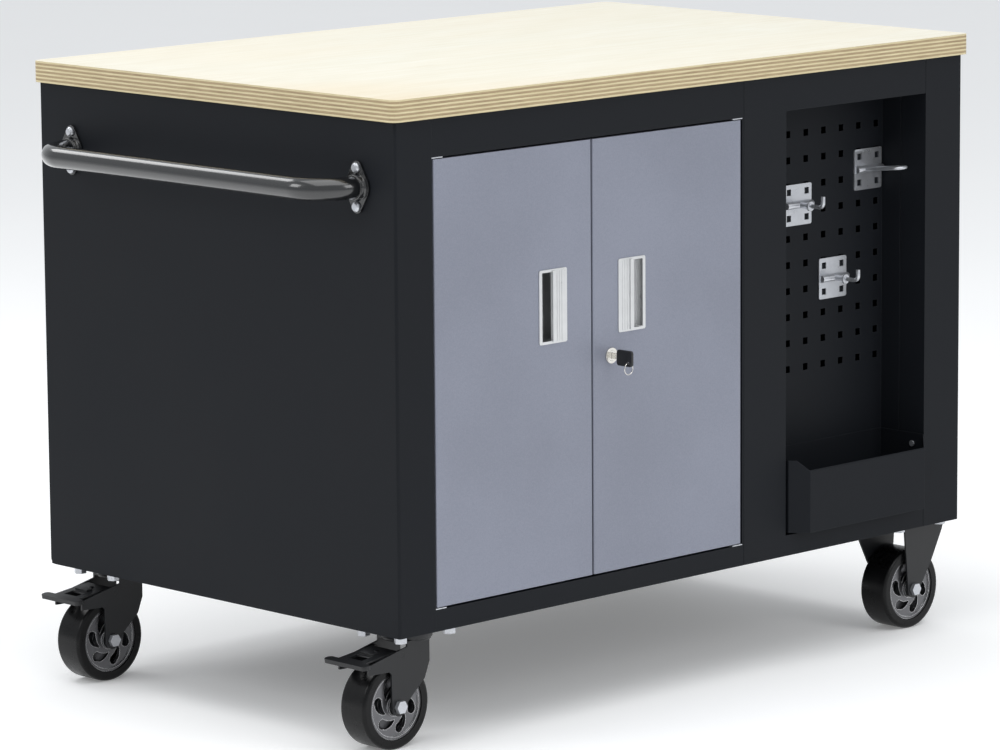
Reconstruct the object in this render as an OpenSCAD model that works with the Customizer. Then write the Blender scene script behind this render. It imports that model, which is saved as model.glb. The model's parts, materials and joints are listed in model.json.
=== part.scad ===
// Mobile workbench: steel cabinet with two hinged doors, an open tool bay, a wooden top and casters.
// Millimetres, +Z up, +X to the right along the front, -Y towards the user at the front.
// Origin: middle of the overall box, on the floor.

/* [Body] */
// Width of the steel body
body_w = 1136; // [1000:0.5:1500]
// Depth of the steel body
body_d = 726; // [560:0.5:900]
// Height of the steel body, without the top and the casters
body_h = 691; // [560:0.5:860]
// Thickness of the folded steel sheet
sheet = 1.5; // [1:0.1:2]
// Outer radius of the folded front corners
bend_r = 4; // [3:0.5:8]
// Radius of the rear bottom corner of each side
foot_r = 9; // [4:1:20]

/* [Worktop] */
// Thickness of the wooden top
top_t = 30; // [20:1:45]
// How far the top stands past the body on each side
top_over = 8; // [4:1:20]
// Corner radius of the top, seen from above
top_corner = 12; // [6:1:20]

/* [Cabinet and doors] */
// Width of the door section, from the left side to the seam
cab_w = 669.5; // [560:0.5:800]
// Width of the front-left corner post
stile_w = 66.5; // [50:0.5:90]
// Height of the rail under the doors
sill_z = 30; // [24:1:50]
// Height of the rail over the doors
head_h = 52.5; // [40:0.5:80]
// Gap round each door
door_gap = 3; // [2.5:0.1:5]
// Depth of the doors, front to back
door_t = 18; // [16:1:24]
// Height of the shelf's top above the cabinet floor
shelf_rise = 300; // [200:1:380]
// Thickness of the doors' sheet
door_skin = 1.2; // [1:0.1:1.5]

/* [Door pulls and lock] */
// Outer height of the recessed pull
pull_h = 102; // [80:1:140]
// Outer width of the recessed pull
pull_w = 53; // [46:0.1:64]
// Distance of the pull's middle from the door's free edge
pull_in = 75; // [60:1:90]
// Height of the pull's middle above the door's middle
pull_up = 81; // [0:1:130]
// Distance of the lock from the door's free edge
lock_in = 34; // [26:1:40]
// Outer diameter of the lock's front ring
lock_d = 22; // [20:1:26]

/* [Tool bay] */
// Width of the post between the doors and the bay
mid_w = 88; // [60:1:110]
// Width of the right-hand post
post_w = 79; // [60:1:110]
// Height of the rail over the bay
bay_head = 51; // [40:1:80]
// Depth of the bay, from the front to the perforated panel
bay_depth = 84; // [70:1:120]
// Spacing of the square holes
hole_pitch = 38; // [30:0.1:50]
// Side of the square holes
hole_side = 10; // [7:0.5:12]
// Rows of square holes
hole_rows = 10; // [8:1:10]
// Distance of the last column of holes from the right wall
hole_edge = 14; // [12:1:18]
// Height of the tray's front wall
tray_h = 89; // [60:1:120]
// How far the tray stands out at the front
tray_out = 22; // [15:1:30]

/* [Push handle] */
// Distance of the tube's axis from the side
handle_reach = 66; // [60:1:90]
// Diameter of the handle tube
handle_d = 31; // [25:0.1:40]
// Distance of the tube's axis below the body's top edge
handle_drop = 91; // [60:1:160]

/* [Casters] */
// Height from the floor to the body
caster_h = 162.5; // [160:0.5:195]
// Diameter of the wheels
wheel_d = 120; // [100:1:122]
// Width of the wheels
wheel_w = 48; // [36:0.1:58]
// Distance of the wheel's axle behind the swivel axis
trail = 42; // [35:1:48]
// Distance of the swivel axis from the body's left side
swivel_x = 74; // [66:1:90]
// Distance of the caster's middle from the front and from the back
caster_y = 66; // [60:1:90]
// Distance of the rigid casters' axle from the body's right side
rigid_x = 57; // [54:1:80]

/* [Hidden] */
$fn = 48;
eps = 0.01;

// overall frame
pedal_back = 36;
pedal_len = 80;
key_near = 13;
key_far = 41.5;
pedal_out = pedal_back + pedal_len - swivel_x;
handle_out = handle_reach + handle_d / 2;
left_out = max(handle_out, pedal_out);
front_out = max(key_far, tray_out, top_over);
left_x = (left_out - top_over - body_w) / 2;
front_y = (front_out - top_over - body_d) / 2;

// cabinet
head_z = body_h - head_h;
jamb_w = 3;
frame_t = 2;
fold_d = 20;
top_ring = 60;
inner_top = body_h - frame_t;
inner_back = body_d - sheet;
opening_w = cab_w - jamb_w - stile_w;
door_w = (opening_w - 3 * door_gap) / 2;
door_h = head_z - sill_z - 2 * door_gap;
door_z = sill_z + door_gap;
left_door_x = stile_w + door_gap;
right_door_x = left_door_x + door_w + door_gap;
door_lip = 14;
edge_r = 1.8;

// hinge pivots
pivot_in = 7;
pin_r = 3;
run_gap = 0.05;
bush_side = 12;
bush_h = 11;
tab_t = 1.5;
tab_w = 20;
tab_d = 15;
pin_tail = 9;
left_pivot_x = left_door_x + pivot_in;
right_pivot_x = right_door_x + door_w - pivot_in;

// door catches
catch_w = 25;
catch_h = 13;
catch_d = 14.5;
catch_gap = 1.5;
catch_side = 15;

// pulls and lock
pull_z = door_z + door_h / 2 + pull_up;
pull_flange = 1.2;
pull_rim = 2;
pull_depth = 14;
pull_wall = 1.5;
pull_corner = 3;
pull_play = 0.3;
slot_edge = -2;
slot_side = 5.5;
ridge_w = 6.5;
ridge_out = 2;
rib_w = 2.6;
rib_pitch = 4.6;
rib_out = 0.5;
left_pull_x = left_door_x + door_w - pull_in;
right_pull_x = right_door_x + pull_in;
lock_x = right_door_x + lock_in;
lock_z = door_z + door_h / 2;
lock_proud = 2.5;
lock_nut_r = 14;
lock_nut_t = 5;
barrel_r = 9.4;
barrel_l = 19;
plug_r = 7;
cam_t = 2.5;
cam_w = 14;
cam_l = lock_in + 10;
cam_gap = 1.5;
plug_l = barrel_l + cam_gap + cam_t;
key_w = 22;
key_t = 4;
key_corner = 4;
key_low = 1;
key_blade_t = 2;
key_blade_h = 8;
key_root = 6;
key_slot_gap = 0.3;
key_slot_l = 15;
ring_r = 8;
ring_wire = 0.7;
ring_hole = 2.4;
ring_y = -34;
ring_z = -7;

// top screws
screw_r = 2.5;
screw_up = 20;
screw_in = 32;
screw_head_r = 5;
screw_head_h = 3;
screw_play = 0.2;

// shelf
shelf_z = sill_z + shelf_rise;
shelf_y = fold_d + 16;
shelf_gap = 2;
shelf_lip = 22;
clip_l = 30;
clip_leg = 16;
clip_front = shelf_y + 60;
clip_back = body_d - 100;

// stiffener inside each door
stiff_w = 40;
stiff_d = 12;

// bay
bay_x = cab_w + mid_w;
post_x = body_w - post_w;
bay_w = post_x - bay_x;
bay_top = body_h - bay_head;
post_back = 47.5;
wall_seam = 1;
front_seam = 0.8;
hole_cols = floor((bay_w - hole_edge - hole_side) / hole_pitch) + 1;
hole_x = post_x - hole_edge;
hole_drop = 49;
hole_z = bay_top - hole_drop;

// hooks
hook_side = hole_pitch + 21;
hook_h = hole_pitch + 22;
hook_t = 2;
hook_corner = 3;
hook_sag = 8;
nose_r = 5;
nose_out = 10;
nose_w = hook_side - 4;
peg_r = 3;
peg_l = 44;
peg_tip = 7;
peg_up = 9;
boss_r = 4.6;
boss_l = 24;
disc_r = 7;
disc_t = 4;
loop_r = 2.5;
loop_span = 24;
loop_l = 56;
loop_lift = 6;

// tray
tray_x0 = bay_x + 6;
tray_x1 = post_x - 1;
tray_z = sill_z + 3;
tray_side = tray_h + 16;
tray_screw_y = 20;
tray_screw_z = tray_z + tray_h;
tray_screw_r = 2;
tray_head_r = 4.5;
tray_head_t = 2.4;

// push handle
handle_front = 70;
handle_back = body_d - 69;
handle_z = body_h - handle_drop;
flange_t = 4;
flange_mid_r = handle_d / 2 + 7;
flange_end_r = 9;
collar_l = 8;
collar_wide = 3;
collar_thin = 0.8;
handle_bolt = handle_d / 2 + 10.5;
handle_bend = handle_reach - flange_t - collar_l;
bolt_r = 4;
bolt_head_r = 7;
bolt_crown_r = 4.5;
bolt_head_t = 5;
bolt_tail = 8;
nut_r = 7.5;
nut_t = 6.5;

// casters, measured down from the body's bottom
axle_z = wheel_d / 2 - caster_h;
axle_r = 6;
leg_gap = 3;
leg_t = 3;
leg_in = wheel_w / 2 + leg_gap;
leg_out = leg_in + leg_t;
fork_boss = 13;
plate_t = 4;
plate_w = 112;
plate_edge = 11;
plate_corner = 8;
stud_r = 5;
stud_play = 0.3;
stud_head_r = 9;
stud_dx = 45;
swivel_dy = 36;
rigid_dy = leg_out + 8.5;
swivel_head_t = 10;
rigid_head_t = 5;
stud_nut_t = 8;
race_r = 35;
race_h = 11;
crown_r = 33;
crown_gap = 0.4;
crown_z = -plate_t - race_h - crown_gap;
king_r = 8;
king_nut_r = 13;
king_nut_t = 6.6;
axle_head_r = 9.5;
axle_head_t = 6;
axle_nut_t = 8;

// brake pedals
pedal_drop = caster_h - wheel_d - 9.5;
pedal_w = 2 * leg_in - 2;
pedal_t = 2.5;
pedal_tilt = 7;
pedal_top = 7;
pedal_pin_r = 4;
pedal_ear_t = 3;
pedal_ear_l = 18;
foot_w = 82;
foot_d = 14;
foot_t = 6;
window_l = 16;
window_w = 26;
block_l = 10;
block_t = 3;

// wheels
tyre_shoulder = 5;
rim_r = wheel_d / 2 - 13.5;
rim_w = wheel_w - 4;
rim_lip = 4;
face_in = 2;
face_t = 5;
web_t = 3;
hub_r = 14;
swirls = 6;
swirl_start = 44;
swirl_turn = 45;
eye_at = rim_r - 14.5;
eye_r = 6.8;
tip_at = hub_r + 5;
swirl_out_r = 20;
swirl_in_r = 30;

// ---- helpers ----

// moves to a point given from the body's left face, front face and bottom
module at(x = 0, y = 0, z = 0) {
    translate([left_x + x, front_y + y, caster_h + z]) children();
}

// box from one corner to another, in body coordinates
module slab(x0, x1, y0, y1, z0, z1) {
    at(x0, y0, z0) cube([x1 - x0, y1 - y0, z1 - z0]);
}

module rounded(w, h, r) {
    square([w - 2 * r, h], center = true);
    square([w, h - 2 * r], center = true);
    for (sx = [-1, 1], sz = [-1, 1]) {
        translate([sx * (w / 2 - r), sz * (h / 2 - r)]) circle(r);
    }
}

// turns a flat drawing to face the front: drawing X stays, drawing Y becomes height
module facing(depth) {
    rotate([90, 0, 0]) translate([0, 0, -depth]) linear_extrude(depth) children();
}

// folded sheet seen from above: a side leg and a front leg with a rounded corner
module fold(side_l, front_l) {
    translate([0, bend_r]) square([sheet, side_l - bend_r]);
    translate([bend_r, 0]) square([front_l - bend_r, sheet]);
    translate([bend_r, bend_r]) {
        intersection() {
            difference() {
                circle(bend_r);
                circle(bend_r - sheet);
            }
            translate([-bend_r, -bend_r]) square(bend_r);
        }
    }
}

// side wall with its front post, as a left-hand part standing at the origin
module side_shell(front_l, back_l) {
    difference() {
        linear_extrude(body_h) {
            fold(body_d, front_l);
            translate([front_l - sheet, sheet]) square([sheet, back_l - sheet]);
        }
        translate([-eps, body_d - foot_r, -eps]) {
            difference() {
                cube([sheet + 2 * eps, foot_r + 1, foot_r + eps]);
                translate([-1, 0, foot_r + eps]) {
                    rotate([0, 90, 0]) cylinder(r = foot_r, h = sheet + 2);
                }
            }
        }
    }
}

// holes for the four studs of one caster plate
module stud_holes(dy) {
    for (sx = [-1, 1], sy = [-1, 1]) {
        translate([sx * stud_dx, sy * dy]) circle(stud_r + stud_play);
    }
}

// flat outline of one caster plate, with its holes
module caster_plate(dy) {
    difference() {
        rounded(plate_w, 2 * (dy + plate_edge), plate_corner);
        stud_holes(dy);
    }
}

module at_swivels(z = 0) {
    for (y = [caster_y, body_d - caster_y]) {
        at(swivel_x, y, z) children();
    }
}

module at_rigids(z = 0) {
    for (y = [caster_y, body_d - caster_y]) {
        at(body_w - rigid_x, y, z) children();
    }
}

// ---- top and carcass ----

module worktop() {
    color("BurlyWood") difference() {
        at(body_w / 2, body_d / 2, body_h) {
            linear_extrude(top_t) rounded(body_w + 2 * top_over, body_d + 2 * top_over, top_corner);
        }
        at_screws(inner_top) translate([0, 0, -eps]) cylinder(r = screw_r + screw_play, h = screw_up + 1);
    }
}

module at_screws(z) {
    for (x = [screw_in, body_w / 2, body_w - screw_in]) {
        for (y = [screw_in, body_d - screw_in]) {
            at(x, y, z) children();
        }
    }
}

module worktop_screws() {
    color("Silver") at_screws(inner_top) {
        cylinder(r = screw_r, h = screw_up);
        translate([0, 0, -screw_head_h]) {
            cylinder(r1 = screw_head_r - 1.5, r2 = screw_head_r, h = screw_head_h);
        }
    }
}

module top_frame() {
    color("DimGray") difference() {
        slab(sheet, body_w - sheet, sheet, inner_back, inner_top, body_h);
        slab(top_ring, body_w - top_ring, top_ring, body_d - top_ring, inner_top - 1, body_h + 1);
        at_screws(inner_top - 1) cylinder(r = screw_r + screw_play, h = frame_t + 2);
        post_notches(inner_top - 1);
    }
}

// room in a full-width plate for the side walls' folded corners and post returns
module post_notches(z) {
    top = z + frame_t + 2;
    slab(0, bend_r, 0, bend_r, z, top);
    slab(body_w - bend_r, body_w, 0, bend_r, z, top);
    slab(stile_w - sheet, stile_w, 0, fold_d, z, top);
    slab(post_x, post_x + sheet, 0, post_back, z, top);
}

module left_panel() {
    color("DimGray") difference() {
        at() side_shell(stile_w, fold_d);
        at_handle_bolts() rotate([0, 90, 0]) cylinder(r = bolt_r + stud_play, h = 4 * sheet, center = true);
    }
}

module right_panel() {
    color("DimGray") at(body_w) mirror([1, 0, 0]) side_shell(post_w, post_back);
}

module back_panel() {
    color("DimGray") slab(sheet, body_w - sheet, inner_back, body_d, 0, body_h);
}

module base_plate() {
    color("DimGray") difference() {
        slab(sheet, body_w - sheet, sheet, inner_back, 0, frame_t);
        at_swivels(-1) linear_extrude(frame_t + 2) stud_holes(swivel_dy);
        at_rigids(-1) linear_extrude(frame_t + 2) stud_holes(rigid_dy);
        post_notches(-1);
    }
}

module cabinet_floor() {
    color("DimGray") slab(sheet, cab_w - sheet, fold_d, inner_back, sill_z - sheet, sill_z);
}

module top_rail() {
    color("DimGray") difference() {
        union() {
            slab(stile_w, cab_w, 0, sheet, head_z, body_h);
            slab(stile_w, cab_w, 0, fold_d, head_z, head_z + sheet);
        }
        at_pivots() translate([0, 0, -body_h]) cylinder(r = pin_r + run_gap, h = 2 * body_h);
    }
}

module bottom_rail() {
    color("DimGray") difference() {
        union() {
            slab(stile_w, cab_w, 0, sheet, 0, sill_z);
            slab(stile_w, cab_w, 0, fold_d, sill_z - sheet, sill_z);
        }
        at_pivots() translate([0, 0, -body_h]) cylinder(r = pin_r + run_gap, h = 2 * body_h);
    }
}

module divider() {
    color("DimGray") {
        slab(cab_w - sheet, cab_w, fold_d, inner_back, frame_t, inner_top);
        slab(cab_w - sheet, cab_w, 0, fold_d, sill_z, head_z);
        slab(cab_w - jamb_w, cab_w - sheet, 0, fold_d, sill_z, head_z);
    }
}

module bay_front() {
    color("DimGray") difference() {
        slab(cab_w + front_seam, post_x - front_seam, 0, sheet, 0, body_h);
        slab(bay_x, post_x + 1, -1, sheet + 1, sill_z, bay_top);
    }
}

module bay_liner() {
    color("DimGray") {
        slab(bay_x - sheet, bay_x, sheet, bay_depth, sill_z - sheet, bay_top + sheet);
        slab(bay_x, post_x, sheet, bay_depth, bay_top, bay_top + sheet);
        slab(bay_x, post_x, sheet, bay_depth, sill_z - sheet, sill_z);
    }
}

module tool_panel() {
    color("DimGray") {
        at(0, bay_depth, 0) facing(sheet) difference() {
            translate([bay_x - sheet, sill_z - sheet]) {
                square([bay_w + 2 * sheet, bay_top - sill_z + 2 * sheet]);
            }
            for (col = [0 : hole_cols - 1], row = [0 : hole_rows - 1]) {
                translate([hole_x - col * hole_pitch, hole_z - row * hole_pitch]) {
                    square(hole_side, center = true);
                }
            }
        }
        slab(post_x, post_x + sheet, post_back + wall_seam, bay_depth, sill_z - sheet, bay_top + sheet);
    }
}

module shelf() {
    color("DimGray") {
        slab(sheet + shelf_gap, cab_w - jamb_w - shelf_gap, shelf_y, inner_back - shelf_gap,
            shelf_z - sheet, shelf_z);
        slab(sheet + shelf_gap, cab_w - jamb_w - shelf_gap, shelf_y, shelf_y + sheet,
            shelf_z - shelf_lip, shelf_z - sheet);
    }
}

module clip(x, y, dir) {
    x0 = dir > 0 ? x : x - clip_leg;
    x1 = dir > 0 ? x + sheet : x - sheet;
    slab(x0, x0 + clip_leg, y, y + clip_l, shelf_z - 2 * sheet, shelf_z - sheet);
    slab(min(x, x1), max(x, x1), y, y + clip_l, shelf_z - clip_leg, shelf_z - 2 * sheet);
}

module shelf_clips() {
    color("Silver") for (y = [clip_front, clip_back]) {
        clip(sheet, y, 1);
        clip(cab_w - sheet, y, -1);
    }
}

module door_catches() {
    y = door_t + catch_gap;
    color("DarkSlateGray") for (x = [left_door_x + door_w - catch_side - catch_w, right_door_x + catch_side]) {
        slab(x, x + catch_w, y, y + catch_d, head_z - catch_h, head_z);
    }
}

// ---- doors ----

module at_pivots() {
    for (x = [left_pivot_x, right_pivot_x]) {
        at(x, pivot_in, sill_z) children();
    }
}

module hinge_pins() {
    color("Silver") for (x = [left_pivot_x, right_pivot_x]) {
        at(x, pivot_in, door_z + door_h - pin_tail) {
            cylinder(r = pin_r, h = pin_tail + door_gap + sheet + 1);
            translate([0, 0, pin_tail + door_gap + sheet]) cylinder(r = pin_r + 2, h = 2);
        }
        at(x, pivot_in, sill_z - sheet - 1) {
            cylinder(r = pin_r, h = pin_tail + door_gap + sheet + 1);
            translate([0, 0, -1]) cylinder(r = pin_r + 2, h = 2);
        }
    }
}

module tab(x0) {
    for (z = [sill_z, head_z - tab_t]) {
        slab(x0, x0 + tab_w, 0, tab_d, z, z + tab_t);
    }
}

module hinge_tabs() {
    color("Silver") difference() {
        union() {
            tab(stile_w);
            tab(cab_w - jamb_w - tab_w);
        }
        at_pivots() cylinder(r = pin_r + run_gap, h = body_h);
    }
}

// folded door pan at the origin, hinge side at x = 0
module door_pan() {
    difference() {
        translate([door_w / 2, door_t / 2]) linear_extrude(door_h) rounded(door_w, door_t, edge_r);
        translate([door_skin, door_skin, door_skin]) {
            cube([door_w - 2 * door_skin, door_t - 2 * door_skin, door_h - 2 * door_skin]);
        }
        translate([door_lip, door_t / 2, door_lip]) {
            cube([door_w - 2 * door_lip, door_t, door_h - 2 * door_lip]);
        }
        translate([pivot_in, pivot_in, -1]) cylinder(r = pin_r + 0.6, h = door_h + 2);
        translate([door_w - pull_in, -1, door_h / 2 + pull_up]) {
            facing(door_skin + 2) rounded(pull_w - 2 * pull_rim, pull_h - 2 * pull_rim, pull_corner - 1);
        }
    }
}

module door_bushes() {
    for (z = [door_skin, door_h - door_skin - bush_h]) {
        difference() {
            translate([door_skin, door_skin, z]) cube([bush_side, bush_side, bush_h]);
            translate([pivot_in, pivot_in, z - 1]) cylinder(r = pin_r + run_gap, h = bush_h + 2);
        }
    }
}

module door_stiffener() {
    x = door_w / 3;
    z0 = door_lip + 6;
    difference() {
        translate([x, door_skin, z0]) cube([stiff_w, stiff_d, door_h - 2 * z0]);
        translate([x + door_skin, door_skin - 1, z0 - 1]) {
            cube([stiff_w - 2 * door_skin, stiff_d + 1 - door_skin, door_h]);
        }
    }
}

module as_left_door() {
    at(left_door_x, 0, door_z) children();
}

module as_right_door() {
    at(right_door_x + door_w, 0, door_z) mirror([1, 0, 0]) children();
}

// recessed pull: origin at its middle on the door's face, finger slot towards -X
module pull_shell() {
    in_w = pull_w - 2 * pull_rim - 2 * pull_play;
    in_h = pull_h - 2 * pull_rim - 2 * pull_play;
    slot_far = slot_side - pull_w / 2;
    plate_end = in_w / 2 - pull_wall;
    slot_h = in_h - 2 * pull_wall;
    difference() {
        union() {
            translate([0, -pull_flange, 0]) facing(pull_flange) rounded(pull_w, pull_h, pull_corner);
            facing(pull_depth) rounded(in_w, in_h, pull_corner - 1);
        }
        translate([(plate_end + slot_far) / 2, -pull_flange - 1, 0]) {
            facing(pull_depth + pull_flange + 1 - pull_wall) {
                rounded(plate_end - slot_far, slot_h, pull_corner - 2);
            }
        }
    }
    translate([slot_edge, -pull_flange, -in_h / 2]) {
        cube([plate_end + eps - slot_edge, pull_flange + pull_wall, in_h]);
        translate([0, -ridge_out, 0]) cube([ridge_w, ridge_out + eps, in_h]);
        for (x = [ridge_w + rib_w : rib_pitch : plate_end - slot_edge - rib_w]) {
            translate([x, -rib_out, 0]) cube([rib_w, rib_out + eps, in_h]);
        }
    }
}

module left_door() {
    color("SlateGray") as_left_door() door_pan();
}

module left_stiffener() {
    color("SlateGray") as_left_door() door_stiffener();
}

module left_bushes() {
    color("Black") as_left_door() door_bushes();
}

module left_pull() {
    color("LightGray") at(left_pull_x, 0, pull_z) pull_shell();
}

module right_door() {
    color("SlateGray") difference() {
        as_right_door() door_pan();
        at(lock_x, -1, lock_z) facing(door_skin + 2) circle(barrel_r + 0.2);
    }
}

module right_stiffener() {
    color("SlateGray") as_right_door() door_stiffener();
}

module right_bushes() {
    color("Black") as_right_door() door_bushes();
}

module right_pull() {
    color("LightGray") at(right_pull_x, 0, pull_z) mirror([1, 0, 0]) pull_shell();
}

module lock_body() {
    color("Silver") at(lock_x, 0, lock_z) difference() {
        union() {
            translate([0, -lock_proud, 0]) facing(lock_proud) circle(lock_d / 2);
            facing(barrel_l) circle(barrel_r);
            translate([0, door_skin, 0]) facing(lock_nut_t) circle(lock_nut_r, $fn = 6);
        }
        translate([0, -lock_proud - 1, 0]) facing(barrel_l + lock_proud + 2) circle(plug_r + run_gap);
    }
}

module lock_plug() {
    color("Silver") at(lock_x, 0, lock_z) {
        difference() {
            translate([0, -lock_proud, 0]) facing(plug_l + lock_proud) circle(plug_r);
            translate([0, -lock_proud - 1, 0]) {
                facing(key_slot_l + 1) {
                    square([key_blade_t + 2 * key_slot_gap, key_blade_h + 2 * key_slot_gap], center = true);
                }
            }
        }
        translate([0, barrel_l + cam_gap, 0]) facing(cam_t) {
            difference() {
                union() {
                    circle(cam_w / 2);
                    translate([-cam_w / 2, -cam_l]) square([cam_w, cam_l]);
                }
                circle(plug_r - 1);
            }
        }
    }
}

module key_blade() {
    color("Silver") at(lock_x, 0, lock_z) {
        translate([-key_blade_t / 2, -key_near - key_root, -key_blade_h / 2]) {
            cube([key_blade_t, key_near + key_root + key_slot_l - lock_proud, key_blade_h]);
        }
    }
}

module key_head() {
    mid = (key_near + key_far) / 2;
    color("Black") at(lock_x, 0, lock_z) difference() {
        rotate([90, 0, 90]) translate([-mid, -key_low, -key_t / 2]) {
            linear_extrude(key_t) rounded(key_far - key_near, key_w, key_corner);
        }
        translate([-key_blade_t / 2, -key_near - key_root, -key_blade_h / 2]) {
            cube([key_blade_t, 2 * key_root, key_blade_h]);
        }
        translate([0, ring_y, ring_z]) rotate([0, 90, 0]) cylinder(r = ring_hole, h = 2 * key_t, center = true);
    }
}

module key_ring() {
    color("Silver") at(lock_x, ring_y, lock_z + ring_z - ring_r) {
        rotate([90, 0, 0]) rotate_extrude() translate([ring_r, 0]) circle(ring_wire);
    }
}

// ---- tray and hooks ----

// outline of the tray seen from above, moved in by the wall
module tray_plan(wall) {
    k = wall * tan(22.5);
    polygon([[tray_x0 + wall, bay_depth - wall], [tray_x0 + wall, k],
        [tray_x0 + tray_out + k, wall - tray_out], [tray_x1 - tray_out - k, wall - tray_out],
        [tray_x1 - wall, k], [tray_x1 - wall, bay_depth - wall]]);
}

module tray() {
    color("DimGray") difference() {
        at(0, 0, tray_z) linear_extrude(tray_side) tray_plan(0);
        at(0, 0, tray_z + sheet) linear_extrude(tray_side) tray_plan(sheet);
        at(tray_x0 - 1, 0, tray_z) rotate([90, 0, 90]) linear_extrude(bay_w) {
            polygon([[-tray_out - 1, tray_h], [-tray_out, tray_h], [-tray_out / 3, tray_side],
                [-tray_out / 3, tray_side + 1], [-tray_out - 1, tray_side + 1]]);
        }
        at(tray_x1, tray_screw_y, tray_screw_z) {
            rotate([0, 90, 0]) cylinder(r = tray_screw_r + screw_play, h = 4 * sheet, center = true);
        }
    }
}

module tray_screws() {
    color("Silver") at(tray_x1 - sheet, tray_screw_y, tray_screw_z) {
        rotate([0, 90, 0]) cylinder(r = tray_screw_r, h = sheet + post_x - tray_x1);
        translate([-tray_head_t, 0, 0]) rotate([0, 90, 0]) cylinder(r = tray_head_r, h = tray_head_t);
    }
}

// plate of a hook with its rolled nose; origin at the middle of its four holes, on the panel's front
module hook_plate() {
    translate([0, -hook_t, 0]) facing(hook_t) difference() {
        rounded(hook_side, hook_h, hook_corner);
        for (sx = [-1, 1], sz = [-1, 1]) {
            translate([sx, sz] * hole_pitch / 2) square(hole_side - 1, center = true);
        }
    }
    translate([-nose_w / 2, -nose_out + nose_r, -nose_r]) {
        cube([nose_w, nose_out - nose_r - hook_t + eps, 2 * nose_r]);
    }
    translate([nose_w / 2, -nose_out + nose_r, 0]) rotate([0, -90, 0]) cylinder(r = nose_r, h = nose_w);
}

// moves to the hook place whose upper right hole is the given column and row
module at_hook(col, row) {
    at(hole_x - (col + 0.5) * hole_pitch, bay_depth, hole_z - (row + 0.5) * hole_pitch - hook_sag) {
        children();
    }
}

// straight peg with a boss, a round disc and an upturned end
module hook_peg() {
    rotate([90, 0, 0]) {
        translate([0, 0, hook_t]) cylinder(r = boss_r, h = boss_l - hook_t);
        translate([0, 0, boss_l]) cylinder(r = disc_r, h = disc_t);
        translate([0, 0, hook_t]) cylinder(r = peg_r, h = peg_l - hook_t);
    }
    translate([0, -peg_l, peg_tip]) rotate([0, -90, 0]) rotate([0, 0, 180]) {
        rotate_extrude(angle = 90) translate([peg_tip, 0]) circle(peg_r);
    }
    translate([0, -peg_l - peg_tip, peg_tip]) cylinder(r = peg_r, h = peg_up);
}

module hook_a() {
    color("Silver") at_hook(4, 2) {
        hook_plate();
        hook_peg();
    }
}

module hook_b() {
    color("Silver") at_hook(0, 1) {
        hook_plate();
        translate([0, -hook_t - 1, 0]) rotate([-loop_lift, 0, 0]) {
            for (s = [-1, 1]) {
                translate([s * loop_span / 2, 0, 0]) rotate([90, 0, 0]) cylinder(r = loop_r, h = loop_l);
            }
            translate([0, -loop_l, 0]) rotate([0, 0, 180]) {
                rotate_extrude(angle = 180) translate([loop_span / 2, 0]) circle(loop_r);
            }
        }
    }
}

module hook_c() {
    color("Silver") at_hook(2, 5) {
        hook_plate();
        hook_peg();
    }
}

// ---- push handle ----

module at_handle_ends() {
    for (y = [handle_front, handle_back]) {
        at(0, y, handle_z) children();
    }
}

module at_handle_bolts() {
    at_handle_ends() for (s = [-1, 1]) {
        translate([0, 0, s * handle_bolt]) children();
    }
}

module handle_tube() {
    r = handle_d / 2;
    stub = flange_t + collar_l;
    color("Black") {
        at_handle_ends() rotate([0, -90, 0]) cylinder(r = r, h = stub);
        at(-stub, handle_front + handle_bend, handle_z) rotate([0, 0, 180]) {
            rotate_extrude(angle = 90) translate([handle_bend, 0]) circle(r);
        }
        at(-stub, handle_back - handle_bend, handle_z) rotate([0, 0, 90]) {
            rotate_extrude(angle = 90) translate([handle_bend, 0]) circle(r);
        }
        at(-handle_reach, handle_front + handle_bend, handle_z) rotate([-90, 0, 0]) {
            cylinder(r = r, h = handle_back - handle_front - 2 * handle_bend);
        }
    }
}

// pointed oval with a round middle and two round ends
module oval() {
    a = acos((flange_mid_r - flange_end_r) / handle_bolt);
    mid = [flange_mid_r * sin(a), flange_mid_r * cos(a)];
    end = [flange_end_r * sin(a), handle_bolt + flange_end_r * cos(a)];
    circle(flange_mid_r);
    for (s = [-1, 1]) {
        translate([0, s * handle_bolt]) circle(flange_end_r);
        polygon([[mid[0], s * mid[1]], [end[0], s * end[1]], [-end[0], s * end[1]], [-mid[0], s * mid[1]]]);
    }
    square([2 * mid[0], 2 * mid[1]], center = true);
}

module handle_flanges() {
    r = handle_d / 2;
    color("Black") difference() {
        at_handle_ends() rotate([0, -90, 0]) {
            linear_extrude(flange_t) rotate(90) oval();
            translate([0, 0, flange_t - eps]) {
                cylinder(r1 = r + collar_wide, r2 = r + collar_thin, h = collar_l - 1);
            }
        }
        at_handle_ends() rotate([0, -90, 0]) translate([0, 0, -1]) cylinder(r = r, h = handle_reach);
        at_handle_bolts() rotate([0, 90, 0]) cylinder(r = bolt_r + stud_play, h = 4 * flange_t, center = true);
    }
}

module handle_fasteners() {
    color("Silver") at_handle_bolts() {
        translate([-flange_t, 0, 0]) rotate([0, 90, 0]) {
            cylinder(r = bolt_r, h = flange_t + sheet + bolt_tail);
            translate([0, 0, -bolt_head_t / 2]) cylinder(r = bolt_head_r, h = bolt_head_t / 2);
            translate([0, 0, -bolt_head_t]) {
                cylinder(r1 = bolt_crown_r, r2 = bolt_head_r, h = bolt_head_t / 2);
            }
        }
        translate([sheet, 0, 0]) rotate([0, 90, 0]) difference() {
            cylinder(r = nut_r, h = nut_t, $fn = 6);
            translate([0, 0, -1]) cylinder(r = bolt_r + run_gap, h = nut_t + 2);
        }
    }
}

// ---- casters ----

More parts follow.
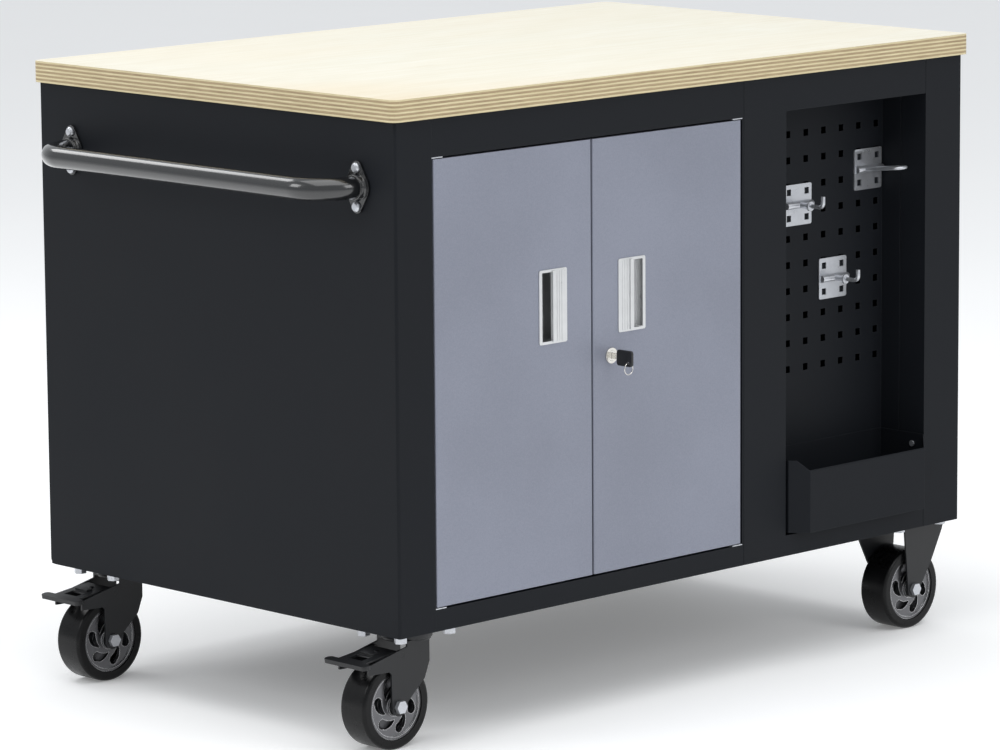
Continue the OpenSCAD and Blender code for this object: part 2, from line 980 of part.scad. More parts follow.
// stud with its head under the plate and its nut on the base plate
module stud(head_t) {
    translate([0, 0, -plate_t - head_t]) {
        cylinder(r = stud_head_r, h = head_t, $fn = 6);
        cylinder(r = stud_r, h = head_t + plate_t + frame_t + stud_nut_t + 2);
    }
    translate([0, 0, frame_t]) difference() {
        cylinder(r = stud_head_r, h = stud_nut_t, $fn = 6);
        translate([0, 0, -1]) cylinder(r = stud_r + run_gap, h = stud_nut_t + 2);
    }
}

module caster_fasteners() {
    color("Silver") for (sx = [-stud_dx, stud_dx], sy = [-1, 1]) {
        at_swivels() translate([sx, sy * swivel_dy, 0]) stud(swivel_head_t);
        at_rigids() translate([sx, sy * rigid_dy, 0]) stud(rigid_head_t);
    }
}

module swivel_plates() {
    color("DimGray") at_swivels() difference() {
        union() {
            translate([0, 0, -plate_t]) linear_extrude(plate_t) caster_plate(swivel_dy);
            translate([0, 0, -plate_t - race_h]) cylinder(r = race_r, h = race_h + eps);
        }
        translate([0, 0, -plate_t - race_h - 1]) cylinder(r = king_r, h = plate_t + race_h + 2);
    }
}

module kingpins() {
    color("DimGray") at_swivels(crown_z - leg_t) {
        translate([0, 0, -1]) cylinder(r = king_r, h = leg_t + 1 - crown_z);
        translate([0, 0, -king_nut_t - crown_gap]) cylinder(r = king_nut_r, h = king_nut_t, $fn = 6);
    }
}

// both legs of a fork, from an outline seen from the front; ax is the axle's place,
// and turned makes the rear leg the front one's half-turn copy
module fork_legs(ax, turned = false) {
    for (back = [false, true]) {
        translate([0, back ? leg_in : -leg_out, 0]) facing(leg_t) difference() {
            mirror([back && turned ? 1 : 0, 0]) union() children();
            translate([ax, axle_z]) circle(axle_r + run_gap);
        }
    }
}

// leg of a swivel fork: its arm reaches forward over the wheel to carry the brake pedal
module swivel_leg() {
    arm = trail + wheel_d / 2 - 4;
    rear = trail / 3;
    front = -trail - fork_boss;
    low_z = axle_z + 0.42 * wheel_d;
    translate([-trail, axle_z]) circle(fork_boss);
    polygon([[-arm, crown_z - 23], [-leg_in, crown_z - 7], [-leg_in, crown_z], [rear, crown_z],
        [rear, axle_z + 0.46 * wheel_d], [rear - 9, axle_z + 0.27 * wheel_d],
        [fork_boss - trail + 3, axle_z + 5], [fork_boss - trail, axle_z], [front, axle_z],
        [front - 1, low_z - 4], [front - 5, low_z], [-arm, low_z + 1]]);
}

module swivel_fork() {
    difference() {
        union() {
            translate([0, 0, crown_z - leg_t]) linear_extrude(leg_t) {
                translate([-leg_in, -leg_out]) square([leg_in + trail / 3, 2 * leg_out]);
                circle(crown_r);
            }
            fork_legs(-trail) swivel_leg();
        }
        translate([0, 0, crown_z - leg_t - 1]) cylinder(r = king_r + run_gap, h = leg_t + 2);
        translate([-pedal_back, 0, -pedal_drop]) rotate([90, 0, 0]) {
            cylinder(r = pedal_pin_r + run_gap, h = 3 * leg_out, center = true);
        }
    }
}

module wheel_axle() {
    rotate([90, 0, 0]) {
        cylinder(r = axle_r, h = 2 * leg_out, center = true);
        translate([0, 0, leg_out]) cylinder(r = axle_head_r, h = axle_head_t, $fn = 6);
        translate([0, 0, -leg_out - axle_nut_t]) cylinder(r = axle_head_r, h = axle_nut_t, $fn = 6);
        for (s = [-1, 1]) {
            translate([0, 0, s * (wheel_w + leg_gap) / 2]) {
                cylinder(r = axle_r + 3, h = leg_gap - 4 * run_gap, center = true);
            }
        }
    }
}

// brake pedal; origin on its pin
module pedal() {
    plate_l = pedal_len - foot_d;
    rotate([90, 0, 0]) cylinder(r = pedal_pin_r, h = 2 * leg_out, center = true);
    rotate([0, -pedal_tilt, 0]) {
        difference() {
            translate([-plate_l - 1, -pedal_w / 2, pedal_top - pedal_t]) {
                cube([plate_l - pedal_ear_t, pedal_w, pedal_t]);
            }
            translate([8 - plate_l, -window_w / 2, 0]) cube([window_l, window_w, 2 * pedal_top]);
        }
        translate([12 + window_l - plate_l, -window_w / 2, pedal_top - eps]) {
            cube([block_l, window_w, block_t]);
        }
        translate([foot_d / 2 - pedal_len, 0, pedal_top - foot_t + 1]) linear_extrude(foot_t) {
            rounded(foot_d, foot_w, foot_d / 2 - 1);
        }
        for (y = [-pedal_w / 2, pedal_w / 2 - pedal_ear_t]) {
            translate([0, y, 0]) facing(pedal_ear_t) {
                circle(pedal_top);
                translate([-pedal_ear_l, 0]) square([pedal_ear_l, pedal_top - pedal_t + eps]);
            }
        }
    }
}

// leg of a rigid fork: upright at the front, sloping out to the body's side
module rigid_leg() {
    half = rigid_x + top_over;
    top = eps - plate_t;
    translate([0, axle_z]) circle(fork_boss);
    polygon([[-fork_boss, axle_z], [-fork_boss - 9, top], [half, top], [half, 0.1 * axle_z],
        [0.95 * half, 0.2 * axle_z], [0.6 * half, 0.62 * axle_z], [fork_boss + 4, 0.95 * axle_z],
        [fork_boss, axle_z]]);
}

module rigid_forks() {
    color("Gray") at_rigids() {
        translate([0, 0, -plate_t]) linear_extrude(plate_t) difference() {
            union() {
                rounded(plate_w, 2 * (rigid_dy + plate_edge), plate_corner);
                square([2 * (rigid_x + top_over), 2 * leg_out], center = true);
            }
            stud_holes(rigid_dy);
        }
        fork_legs(0, true) rigid_leg();
    }
}

module rigid_axles() {
    color("Silver") at_rigids(axle_z) wheel_axle();
}

module at_fl() {
    at(swivel_x, caster_y, 0) children();
}

module at_rl() {
    at(swivel_x, body_d - caster_y, 0) children();
}

module fl_fork() {
    color("Gray") at_fl() swivel_fork();
}

module rl_fork() {
    color("Gray") at_rl() swivel_fork();
}

module fl_axle() {
    color("Silver") at_fl() translate([-trail, 0, axle_z]) wheel_axle();
}

module rl_axle() {
    color("Silver") at_rl() translate([-trail, 0, axle_z]) wheel_axle();
}

module fl_pedal() {
    color("DimGray") at_fl() translate([-pedal_back, 0, -pedal_drop]) pedal();
}

module rl_pedal() {
    color("DimGray") at_rl() translate([-pedal_back, 0, -pedal_drop]) pedal();
}

// wheel parts; origin at the wheel's middle, axle along Y
module tyre() {
    r = wheel_d / 2;
    shoulder = tyre_shoulder;
    rotate([90, 0, 0]) rotate_extrude() difference() {
        union() {
            translate([rim_r, -wheel_w / 2]) square([r - rim_r - shoulder, wheel_w]);
            translate([rim_r, -wheel_w / 2 + shoulder]) square([r - rim_r, wheel_w - 2 * shoulder]);
            for (s = [-1, 1]) {
                translate([r - shoulder, s * (wheel_w / 2 - shoulder)]) circle(shoulder);
            }
        }
        translate([rim_r - wheel_w, -wheel_w]) square([wheel_w, 2 * wheel_w]);
    }
}

// point at ra from a and rb from b, on the right going from a to b
function meet(a, ra, b, rb) =
    let (d = norm(b - a), u = (b - a) / d, x = (d * d + ra * ra - rb * rb) / (2 * d))
    a + x * u + sqrt(ra * ra - x * x) * [u[1], -u[0]];

// curved drop that narrows towards the hub
module swirl() {
    eye = [eye_at, 0];
    tip = tip_at * [cos(swirl_turn), sin(swirl_turn)];
    translate(eye) circle(eye_r);
    difference() {
        intersection() {
            translate(meet(tip, swirl_out_r, eye, swirl_out_r - eye_r)) circle(swirl_out_r);
            translate(tip) circle(norm(eye - tip));
        }
        translate(meet(tip, swirl_in_r, eye, swirl_in_r + eye_r)) circle(swirl_in_r);
    }
}

module rim() {
    face_z = rim_w / 2 - face_in - face_t;
    face_w = rim_r - rim_lip - hub_r + 2 * eps;
    rotate([90, 0, 0]) {
        difference() {
            rotate_extrude() {
                translate([rim_r - rim_lip, -rim_w / 2]) square([rim_lip, rim_w]);
                translate([axle_r + run_gap, -wheel_w / 2]) {
                    square([hub_r - axle_r - run_gap, wheel_w]);
                }
                for (z = [face_z, -face_z - face_t]) {
                    translate([hub_r - eps, z]) square([face_w, face_t]);
                }
            }
            for (i = [0 : swirls - 1]) {
                rotate([0, 0, swirl_start + i * 360 / swirls]) translate([0, 0, -wheel_w]) {
                    linear_extrude(2 * wheel_w) swirl();
                }
            }
        }
        rotate_extrude() translate([hub_r - eps, -web_t / 2]) square([face_w, web_t]);
    }
}

module at_wheel(name) {
    x = name[1] == "l" ? swivel_x - trail : body_w - rigid_x;
    y = name[0] == "f" ? caster_y : body_d - caster_y;
    at(x, y, axle_z) children();
}

module fl_tyre() {
    color("Black") at_wheel("fl") tyre();
}

module fl_rim() {
    color("Silver") at_wheel("fl") rim();
}

module rl_tyre() {
    color("Black") at_wheel("rl") tyre();
}

module rl_rim() {
    color("Silver") at_wheel("rl") rim();
}

module fr_tyre() {
    color("Black") at_wheel("fr") tyre();
}

module fr_rim() {
    color("Silver") at_wheel("fr") rim();
}

module rr_tyre() {
    color("Black") at_wheel("rr") tyre();
}

module rr_rim() {
    color("Silver") at_wheel("rr") rim();
}

worktop();
top_frame();
left_panel();
right_panel();
back_panel();
base_plate();
cabinet_floor();
top_rail();
bottom_rail();
divider();
bay_front();
bay_liner();
tool_panel();
shelf();
shelf_clips();
door_catches();
hinge_pins();
hinge_tabs();
worktop_screws();
left_door();
left_stiffener();
left_bushes();
left_pull();
right_door();
right_stiffener();
right_bushes();
right_pull();
lock_body();
lock_plug();
key_blade();
key_head();
key_ring();
tray();
tray_screws();
hook_a();
hook_b();
hook_c();
handle_tube();
handle_flanges();
handle_fasteners();
swivel_plates();
kingpins();
rigid_forks();
rigid_axles();
caster_fasteners();
fl_fork();
fl_axle();
fl_pedal();
fl_tyre();
fl_rim();
rl_fork();
rl_axle();
rl_pedal();
rl_tyre();
rl_rim();
fr_tyre();
fr_rim();
rr_tyre();
rr_rim();
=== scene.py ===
"""Mobile workbench: finishes, fine details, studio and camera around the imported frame."""
import json
import math

import bpy
from mathutils import Matrix, Vector


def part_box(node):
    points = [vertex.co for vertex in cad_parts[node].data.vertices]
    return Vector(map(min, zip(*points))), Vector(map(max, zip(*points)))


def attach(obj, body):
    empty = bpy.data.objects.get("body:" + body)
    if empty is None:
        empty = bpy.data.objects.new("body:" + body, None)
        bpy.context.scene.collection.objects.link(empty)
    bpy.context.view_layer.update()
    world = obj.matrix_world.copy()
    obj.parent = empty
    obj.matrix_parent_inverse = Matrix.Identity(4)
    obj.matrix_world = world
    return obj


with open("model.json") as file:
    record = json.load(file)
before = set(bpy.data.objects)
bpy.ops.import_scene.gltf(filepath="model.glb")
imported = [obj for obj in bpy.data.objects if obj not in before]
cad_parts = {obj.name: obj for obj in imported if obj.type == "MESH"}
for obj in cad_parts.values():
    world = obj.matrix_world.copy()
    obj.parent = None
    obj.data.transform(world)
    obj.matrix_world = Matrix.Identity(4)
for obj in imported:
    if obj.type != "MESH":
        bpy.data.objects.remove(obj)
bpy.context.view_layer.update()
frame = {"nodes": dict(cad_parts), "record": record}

NODES = frame["nodes"]
MM = 0.001

# Camera, in the frame's metres and radians
CAMERA_PLACE = Vector((-5.0605, -5.1746, 1.6408))
CAMERA_AZIMUTH = 0.7739
CAMERA_DROP = 0.1680
CAMERA_ROLL = -0.0076
CAMERA_LENS = 183.67
SENSOR_WIDTH = 36.0

# Reach of the lighter edges on coats and rims: partly wear, partly a painted highlight
EDGE_WEAR_AND_HIGHLIGHT = 0.9 * MM
SPLIT_VERTEX_GAP = 0.01 * MM
BEVEL_SEGMENTS = 2
BEVEL_ANGLE = math.radians(40)
FLAT_ANGLE = math.radians(0.5)

# Plywood colours
BIRCH_DARK = (0.765, 0.72, 0.58)
BIRCH_MIDDLE = (0.81, 0.78, 0.665)
BIRCH_LIGHT = (0.84, 0.82, 0.73)
BIRCH_CLOUD = (0.83, 0.745, 0.58, 1)
BIRCH_VEIN = (0.60, 0.47, 0.30, 1)
BIRCH_AMBER = (0.80, 0.60, 0.33, 1)
PLY_ENDS = ((0.27, 0.195, 0.105), (0.42, 0.32, 0.185))
PLY_SIDES = ((0.53, 0.44, 0.25), (0.70, 0.61, 0.38))
GLUE_LINE = (0.20, 0.115, 0.055, 1)
PLIES = 11
AMBER_REACH = (0.42, 0.30)

# Weld beads round the handle's ends
FLANGE_HALF_WIDTH = 22.5 * MM
BEAD_INSET = 0.6 * MM
BEAD_RADIUS = 16.0 * MM
BEAD_THICKNESS = 1.1 * MM

# Rivet heads on the brake pedals
PEDAL_TILT = math.radians(7)
PEDAL_TOP = 7.0 * MM
RIVET_FROM_PIN = 19.0 * MM
RIVET_RADIUS = 4.2 * MM
RIVET_HEIGHT = 1.9 * MM

# Studio: name, place, side and watts of each square lamp
LAMPS = (
    ("overhead", (-0.5, -0.9, 4.2), 4.4, 99.0),
    ("back_soft", (-0.9, 3.0, 3.4), 1.5, 26.0),
    ("left_strip", (-3.4, 1.2, 2.6), 1.4, 24.0),
    ("front_soft", (0.8, -4.4, 2.6), 1.8, 30.0),
)
LAMP_AIM = Vector((0, 0, 0.45))
SURROUND_COLOUR = (0.94, 0.97, 1.0, 1.0)
SURROUND_STRENGTH = 0.62
FLOOR_REACH = 40.0
FLOOR_TINT = 0.965
FLOOR_GLOW = 0.16


# ---------------------------------------------------------------- materials

class Finish:
    """A Principled material with short helpers for the nodes that feed it."""

    def __init__(self, name, **sockets):
        self.material = bpy.data.materials.new(name)
        self.material.use_nodes = True
        self.tree = self.material.node_tree
        self.tree.nodes.clear()
        output = self.add("ShaderNodeOutputMaterial")
        self.shader = self.add("ShaderNodeBsdfPrincipled")
        self.tree.links.new(self.shader.outputs[0], output.inputs["Surface"])
        for socket, value in sockets.items():
            self.shader.inputs[socket.replace("_", " ")].default_value = value

    def add(self, kind, **fields):
        node = self.tree.nodes.new(kind)
        for field, value in fields.items():
            setattr(node, field, value)
        return node

    def feed(self, source, target):
        """Links source to target, or sets target to source if it is a constant."""
        if isinstance(source, bpy.types.NodeSocket):
            self.tree.links.new(source, target)
        else:
            target.default_value = source

    def place(self, scale=(1, 1, 1)):
        """Position on the piece in metres, stretched by scale."""
        coordinates = self.add("ShaderNodeTexCoord")
        mapping = self.add("ShaderNodeMapping")
        mapping.inputs["Scale"].default_value = scale
        self.feed(coordinates.outputs["Object"], mapping.inputs["Vector"])
        return mapping.outputs["Vector"]

    def noise(self, place, scale, detail=2.0, roughness=0.5, distortion=0.0):
        node = self.add("ShaderNodeTexNoise")
        self.feed(place, node.inputs["Vector"])
        node.inputs["Scale"].default_value = scale
        node.inputs["Detail"].default_value = detail
        node.inputs["Roughness"].default_value = roughness
        node.inputs["Distortion"].default_value = distortion
        return node.outputs["Fac"]

    def ramp(self, factor, *stops):
        """Colours along factor; each stop is (position, colour)."""
        node = self.add("ShaderNodeValToRGB")
        self.feed(factor, node.inputs["Fac"])
        elements = node.color_ramp.elements
        while len(elements) < len(stops):
            elements.new(0.5)
        for element, (position, colour) in zip(elements, stops):
            element.position = position
            element.color = tuple(colour) + (1.0,)
        return node.outputs["Color"]

    def span(self, value, low, high, to_low=0.0, to_high=1.0):
        """Value from low..high to to_low..to_high, held at the ends."""
        node = self.add("ShaderNodeMapRange")
        for socket, number in zip(("Value", "From Min", "From Max", "To Min", "To Max"),
                                  (value, low, high, to_low, to_high)):
            self.feed(number, node.inputs[socket])
        return node.outputs["Result"]

    def maths(self, operation, first, second=0.0):
        node = self.add("ShaderNodeMath", operation=operation)
        self.feed(first, node.inputs[0])
        self.feed(second, node.inputs[1])
        return node.outputs["Value"]

    def mix(self, factor, first, second, blend="MIX"):
        node = self.add("ShaderNodeMix", data_type="RGBA", blend_type=blend)
        self.feed(factor, node.inputs["Factor"])
        self.feed(first, node.inputs[6])
        self.feed(second, node.inputs[7])
        return node.outputs[2]

    def axes(self, vector):
        node = self.add("ShaderNodeSeparateXYZ")
        self.feed(vector, node.inputs[0])
        return node.outputs[0], node.outputs[1], node.outputs[2]

    def facing(self):
        """The surface's direction on the piece, as X, Y and Z."""
        return self.axes(self.add("ShaderNodeTexCoord").outputs["Normal"])

    def bump(self, height, distance, strength):
        node = self.add("ShaderNodeBump")
        self.feed(height, node.inputs["Height"])
        node.inputs["Distance"].default_value = distance
        node.inputs["Strength"].default_value = strength
        return node.outputs["Normal"]

    def edges(self, radius, strength):
        """0 on flat faces, up to strength along outer and inner edges."""
        rounded = self.add("ShaderNodeBevel", samples=4)
        rounded.inputs["Radius"].default_value = radius
        plain = self.add("ShaderNodeNewGeometry").outputs["Normal"]
        turn = self.add("ShaderNodeVectorMath", operation="DOT_PRODUCT")
        self.feed(rounded.outputs["Normal"], turn.inputs[0])
        self.feed(plain, turn.inputs[1])
        return self.span(turn.outputs["Value"], 0.80, 0.98, strength, 0.0)

    def colour(self, source):
        self.feed(source, self.shader.inputs["Base Color"])

    def rough(self, source):
        self.feed(source, self.shader.inputs["Roughness"])

    def normal(self, source):
        self.feed(source, self.shader.inputs["Normal"])


def grey(value):
    return (value, value, value)


def birch_ply():
    """Lacquered birch plywood: grain along X on the faces, plies across the edges."""
    top_low, top_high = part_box("worktop")
    f = Finish("birch_ply", Specular_IOR_Level=0.4, Coat_Weight=0.15, Coat_Roughness=0.3)
    grain = f.noise(f.place((2.2, 26, 26)), 3.4, 6.0, 0.62, 0.7)
    fine = f.noise(f.place((9, 420, 420)), 2.0, 3.0, 0.6)
    cloud = f.noise(f.place((1.2, 3.0, 3.0)), 1.6, 3.0, 0.5)
    face = f.ramp(grain, (0.3, BIRCH_DARK), (0.52, BIRCH_MIDDLE),
                  (0.72, BIRCH_LIGHT))
    face = f.mix(f.span(cloud, 0.35, 0.7, 0.0, 0.35), face, BIRCH_CLOUD)
    face = f.mix(f.span(fine, 0.58, 0.74, 0.0, 0.16), face, BIRCH_VEIN)
    x, y, z = f.axes(f.place())
    wobble = f.noise(f.place((1.6, 1.6, 0.0)), 2.0, 1.0)
    height = f.maths("ADD", z, f.span(wobble, 0.3, 0.7, -0.0004, 0.0004))
    amber = f.maths("ADD", f.span(x, top_low.x, top_low.x + AMBER_REACH[0], 1.0, 0.0),
                    f.span(y, top_low.y, top_low.y + AMBER_REACH[1], 1.0, 0.0))
    amber = f.maths("MULTIPLY", f.span(amber, 0.9, 1.9, 0.0, 0.55),
                    f.span(cloud, 0.25, 0.6, 0.5, 1.0))
    face = f.mix(amber, face, BIRCH_AMBER)
    step = f.span(height, top_low.z, top_high.z, 0.0, PLIES)
    ply = f.maths("FLOOR", step)
    odd = f.maths("MODULO", ply, 2.0)
    streak = f.noise(f.place((30, 30, 900)), 1.0, 4.0, 0.65)
    end_grain = f.ramp(streak, (0.3, PLY_ENDS[0]), (0.6, PLY_ENDS[1]))
    long_grain = f.ramp(streak, (0.3, PLY_SIDES[0]), (0.65, PLY_SIDES[1]))
    edge = f.mix(odd, long_grain, end_grain)
    within = f.maths("FRACT", step)
    glue = f.maths("LESS_THAN", within, 0.10)
    edge = f.mix(f.maths("MULTIPLY", glue, 0.55), edge, GLUE_LINE)
    _, _, up = f.facing()
    on_face = f.maths("GREATER_THAN", f.maths("ABSOLUTE", up), 0.75)
    f.colour(f.mix(on_face, edge, face))
    f.rough(f.span(grain, 0.3, 0.7, 0.42, 0.55))
    relief = f.maths("ADD", f.maths("MULTIPLY", fine, 0.4), f.maths("MULTIPLY", streak, 0.6))
    f.normal(f.bump(relief, 0.00012, 0.5))
    return f.material


def powder_coat(name, tint, gloss, grain_size, grain_depth,
                metallic=0.0, shine=0.5, coat=0.0, edge_wear_and_highlight=0.03):
    """Baked powder: a pebbled skin with faint clouds in its colour and gloss, and edges lightened
    partly as worn coat and partly as a painted highlight.
    """
    f = Finish(name, Metallic=metallic, Specular_IOR_Level=shine,
               Coat_Weight=coat, Coat_Roughness=0.1, Coat_IOR=1.5)
    pebble = f.noise(f.place(), 1.0 / grain_size, 2.0, 0.6)
    cloud = f.noise(f.place(), 3.2, 3.0, 0.55)
    dark = tuple(c * 0.90 for c in tint)
    light = tuple(c * 1.08 for c in tint)
    shade = f.ramp(f.maths("ADD", f.maths("MULTIPLY", pebble, 0.45),
                           f.maths("MULTIPLY", cloud, 0.55)), (0.38, dark), (0.62, light))
    # Lighter edges: partly thinner, worn coat, partly a painted highlight
    worn_and_highlit_edges = f.edges(EDGE_WEAR_AND_HIGHLIGHT, 0.8)
    f.colour(f.mix(worn_and_highlit_edges, shade, tuple(min(1.0, c * 1.5 + edge_wear_and_highlight) for c in tint) + (1,)))
    f.rough(f.span(cloud, 0.3, 0.7, gloss - 0.05, gloss + 0.05))
    f.normal(f.bump(pebble, grain_depth, 0.8))
    return f.material


def plated(name, tint, gloss, streaks=(1, 1, 1), patch=60.0, metallic=1.0, edge_wear_and_highlight=0.0,
           wear_and_highlight_reach=EDGE_WEAR_AND_HIGHLIGHT):
    """Plated or bare metal with soft patches in its tone and fine scratches; edges can be
    lightened, partly as wear and partly as a painted highlight.
    """
    f = Finish(name, Metallic=metallic)
    level = f.noise(f.place(), patch, 2.0, 0.6)
    scratch = f.noise(f.place(streaks), 700.0, 2.0, 0.6)
    tone = f.maths("ADD", f.maths("MULTIPLY", level, 0.6), f.maths("MULTIPLY", scratch, 0.4))
    shade = f.ramp(tone, (0.3, tuple(c * 0.88 for c in tint)), (0.7, tint))
    # Lighter edges: partly wear, partly a painted highlight
    if edge_wear_and_highlight:
        shade = f.mix(f.edges(wear_and_highlight_reach, 1.0), shade, tuple(c + edge_wear_and_highlight for c in tint) + (1,))
    f.colour(shade)
    f.rough(f.span(tone, 0.3, 0.7, gloss - 0.04, gloss + 0.06))
    f.normal(f.bump(scratch, 0.00002, 0.4))
    return f.material


def moulded(name, tint, gloss, grain_size=0.0009, depth=0.00002, shine=0.5, dust_rise=0.006):
    """Moulded rubber or nylon."""
    f = Finish(name, Specular_IOR_Level=shine)
    grain = f.noise(f.place(), 1.0 / grain_size, 2.0)
    dust = f.noise(f.place(), 40.0, 4.0, 0.6)
    light = tuple(c * 1.5 + dust_rise for c in tint)
    f.colour(f.mix(f.span(dust, 0.45, 0.75, 0.0, 0.6), tint + (1,), light + (1,)))
    f.rough(f.span(dust, 0.3, 0.7, gloss - 0.04, gloss + 0.1))
    f.normal(f.bump(grain, depth, 0.6))
    return f.material


# Slot of the record: its material. Tint, gloss, then grain size and depth in metres
FINISHES = {
    "birch_ply": birch_ply(),
    "black_powder_coat": powder_coat("black_powder_coat", (0.0078, 0.0092, 0.0120), 0.55,
                                     0.0011, 0.00007, shine=0.145),
    "door_powder_coat": powder_coat("door_powder_coat", (0.238, 0.252, 0.308), 0.42,
                                    0.0016, 0.00004, metallic=0.2, shine=0.3),
    "zinc_steel": plated("zinc_steel", (0.60, 0.615, 0.65), 0.30, patch=120.0, metallic=0.75),
    "black_plastic": moulded("black_plastic", (0.010, 0.010, 0.011), 0.35),
    "pull_aluminium": plated("pull_aluminium", (0.74, 0.745, 0.75), 0.30, streaks=(1, 1, 0.02)),
    "nickel": plated("nickel", (0.76, 0.74, 0.70), 0.18, patch=90.0),
    "gloss_black_paint": powder_coat("gloss_black_paint", (0.006, 0.0065, 0.0075), 0.2,
                                     0.004, 0.000008, coat=1.0),
    "caster_steel": powder_coat("caster_steel", (0.010, 0.0105, 0.012), 0.36, 0.002, 0.00002,
                                shine=0.4),
    "tyre_rubber": moulded("tyre_rubber", (0.0030, 0.0030, 0.0034), 0.26,
                           shine=0.22, dust_rise=0.002),
    # Rim edges lightened almost to white: partly wear, partly a painted highlight
    "rim_aluminium": plated("rim_aluminium", (0.17, 0.17, 0.178), 0.30, patch=90.0, edge_wear_and_highlight=0.8,
                            wear_and_highlight_reach=1.8 * MM),
}


# ---------------------------------------------------------------- frame nodes

def finish_node(piece, material, bevel):
    """Gives a CAD node its finish, and a small rounded edge by modifier."""
    piece.data.materials.clear()
    piece.data.materials.append(material)
    weld = piece.modifiers.new("weld", "WELD")
    weld.merge_threshold = SPLIT_VERTEX_GAP
    flats = piece.modifiers.new("flats", "DECIMATE")
    flats.decimate_type = "DISSOLVE"
    flats.angle_limit = FLAT_ANGLE
    if bevel:
        edge = piece.modifiers.new("edge", "BEVEL")
        edge.width = bevel
        edge.segments = BEVEL_SEGMENTS
        edge.limit_method = "ANGLE"
        edge.angle_limit = BEVEL_ANGLE
        edge.use_clamp_overlap = True
        edge.harden_normals = True


EDGE_ROUNDING = {
    "worktop": 1.2 * MM,
    "left_pull": 0.4 * MM,
    "right_pull": 0.4 * MM,
    "handle_flanges": 0.6 * MM,
    "left_door": 0.6 * MM,
    "right_door": 0.6 * MM,
}
PLAIN_EDGE = 0.35 * MM

for row in frame["record"]["subparts"]:
    finish_node(NODES[row["node"]], FINISHES[row["material_slot"]],
                EDGE_ROUNDING.get(row["node"], PLAIN_EDGE))


# ---------------------------------------------------------------- fine details

def add_detail(name, points, faces, slot, body):
    """Makes a smooth mesh piece in the frame, in a record slot's finish, that rides on a body."""
    mesh = bpy.data.meshes.new(name)
    mesh.from_pydata(points, [], faces)
    mesh.polygons.foreach_set("use_smooth", [True] * len(mesh.polygons))
    mesh.materials.append(FINISHES[slot])
    piece = bpy.data.objects.new(name, mesh)
    bpy.context.scene.collection.objects.link(piece)
    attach(piece, body)


def grid_faces(rings, around, closed):
    """Quads between rings of points; closed joins the last ring to the first."""
    faces = []
    for ring in range(rings if closed else rings - 1):
        following = (ring + 1) % rings
        for step in range(around):
            side = (step + 1) % around
            faces.append((ring * around + step, ring * around + side,
                          following * around + side, following * around + step))
    return faces


def weld_bead(name, centre, radius, thickness, slot, body):
    """Rippled weld around a tube that runs along X."""
    rings, around, ripples = 240, 12, 46
    points = []
    for ring in range(rings):
        turn = math.tau * ring / rings
        swell = 1.0 + 0.16 * abs(math.sin(ripples * turn / 2)) + 0.05 * math.sin(5 * turn)
        for step in range(around):
            lean = math.tau * step / around
            out = radius + thickness * swell * math.cos(lean)
            along = thickness * swell * math.sin(lean)
            points.append(centre + Vector((along, out * math.cos(turn), out * math.sin(turn))))
    add_detail(name, points, grid_faces(rings, around, True), slot, body)


def rivet_dome(name, centre, normal, radius, height, slot, body):
    """Low domed rivet head with a pressed rim."""
    rings, around = 9, 32
    side = normal.cross(Vector((0, 1, 0))).normalized()
    other = normal.cross(side)
    profile = [(1.0, -0.3), (1.0, 0.12)]
    for ring in range(rings - 2):
        climb = math.radians(90 * (ring + 1) / (rings - 2))
        profile.append((0.88 * math.cos(climb) + 0.02, 0.12 + 0.88 * math.sin(climb)))
    points = []
    for reach, rise in profile:
        for step in range(around):
            turn = math.tau * step / around
            points.append(centre + normal * (height * rise)
                          + (side * math.cos(turn) + other * math.sin(turn)) * (radius * reach))
    faces = grid_faces(len(profile), around, False)
    faces.append(tuple(range(len(points) - around, len(points))))
    add_detail(name, points, faces, slot, body)


def handle_welds():
    low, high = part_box("handle_flanges")
    for end, y in (("front", low.y + FLANGE_HALF_WIDTH), ("rear", high.y - FLANGE_HALF_WIDTH)):
        weld_bead(f"handle_weld_{end}", Vector((low.x + BEAD_INSET, y, (low.z + high.z) / 2)),
                  BEAD_RADIUS, BEAD_THICKNESS, "gloss_black_paint", "cabinet")


def pedal_rivets():
    normal = Vector((-math.sin(PEDAL_TILT), 0, math.cos(PEDAL_TILT)))
    along = Vector((-math.cos(PEDAL_TILT), 0, -math.sin(PEDAL_TILT)))
    for name, body in (("fl_pedal", "front_left_pedal"), ("rl_pedal", "rear_left_pedal")):
        low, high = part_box(name)
        pin = Vector((high.x - PEDAL_TOP, (low.y + high.y) / 2, high.z - PEDAL_TOP))
        top = pin + normal * PEDAL_TOP + along * RIVET_FROM_PIN
        rivet_dome(f"{name}_rivet", top, normal, RIVET_RADIUS, RIVET_HEIGHT, "caster_steel", body)


handle_welds()
pedal_rivets()


# ---------------------------------------------------------------- studio

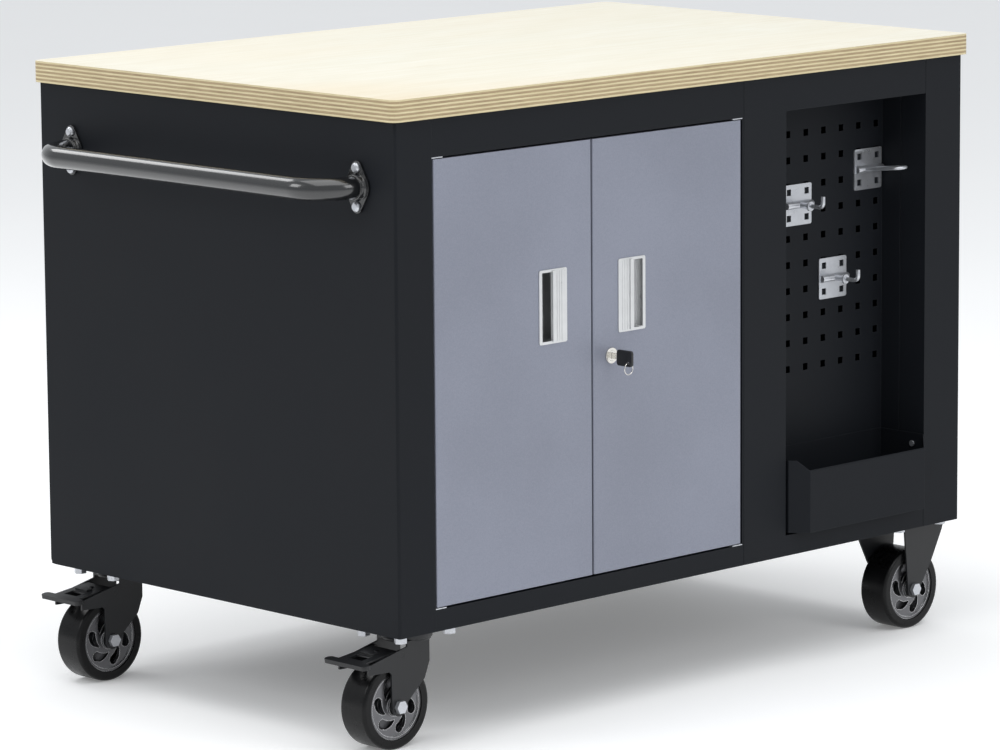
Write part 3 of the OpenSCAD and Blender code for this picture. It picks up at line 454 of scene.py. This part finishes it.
def studio_material(name, tint):
    f = Finish(name, Roughness=0.9, Specular_IOR_Level=0.1,
               Emission_Color=(1, 1, 1, 1), Emission_Strength=FLOOR_GLOW)
    mottle = f.noise(f.place(), 1.5, 3.0)
    f.colour(f.ramp(mottle, (0.3, grey(tint)), (0.7, grey(tint + 0.01))))
    return f.material


def studio():
    """A large pale floor, a white surround and four soft lamps."""
    floor_mesh = bpy.data.meshes.new("floor")
    reach = FLOOR_REACH
    corners = [(-reach, -reach, 0), (reach, -reach, 0), (reach, reach, 0), (-reach, reach, 0)]
    floor_mesh.from_pydata(corners, [], [(0, 1, 2, 3)])
    floor_mesh.materials.append(studio_material("studio_floor", FLOOR_TINT))
    floor = bpy.data.objects.new("floor", floor_mesh)
    bpy.context.scene.collection.objects.link(floor)

    world = bpy.data.worlds.new("surround")
    bpy.context.scene.world = world
    world.use_nodes = True
    background = world.node_tree.nodes["Background"]
    background.inputs["Color"].default_value = SURROUND_COLOUR
    background.inputs["Strength"].default_value = SURROUND_STRENGTH

    for name, place, size, power in LAMPS:
        lamp = bpy.data.lights.new(name, "AREA")
        lamp.shape = "SQUARE"
        lamp.size = size
        lamp.energy = power
        holder = bpy.data.objects.new(name, lamp)
        holder.location = place
        aim = LAMP_AIM - Vector(place)
        holder.rotation_euler = aim.to_track_quat("-Z", "Y").to_euler()
        bpy.context.scene.collection.objects.link(holder)


def photo_camera():
    drop, turn = CAMERA_DROP, CAMERA_AZIMUTH
    level_reach = math.cos(drop)
    view = Vector((math.sin(turn) * level_reach, math.cos(turn) * level_reach, -math.sin(drop)))
    level = view.cross(Vector((0, 0, 1))).normalized()
    above = level.cross(view)
    right = level * math.cos(CAMERA_ROLL) + above * math.sin(CAMERA_ROLL)
    up = above * math.cos(CAMERA_ROLL) - level * math.sin(CAMERA_ROLL)
    lens = bpy.data.cameras.new("camera")
    lens.sensor_width = SENSOR_WIDTH
    lens.lens = CAMERA_LENS
    lens.clip_end = 100.0
    camera = bpy.data.objects.new("camera", lens)
    turned = Matrix((right, up, -view)).transposed().to_4x4()
    camera.matrix_world = Matrix.Translation(CAMERA_PLACE) @ turned
    bpy.context.scene.collection.objects.link(camera)
    bpy.context.scene.camera = camera


studio()
photo_camera()
bpy.context.scene.view_settings.view_transform = "Standard"
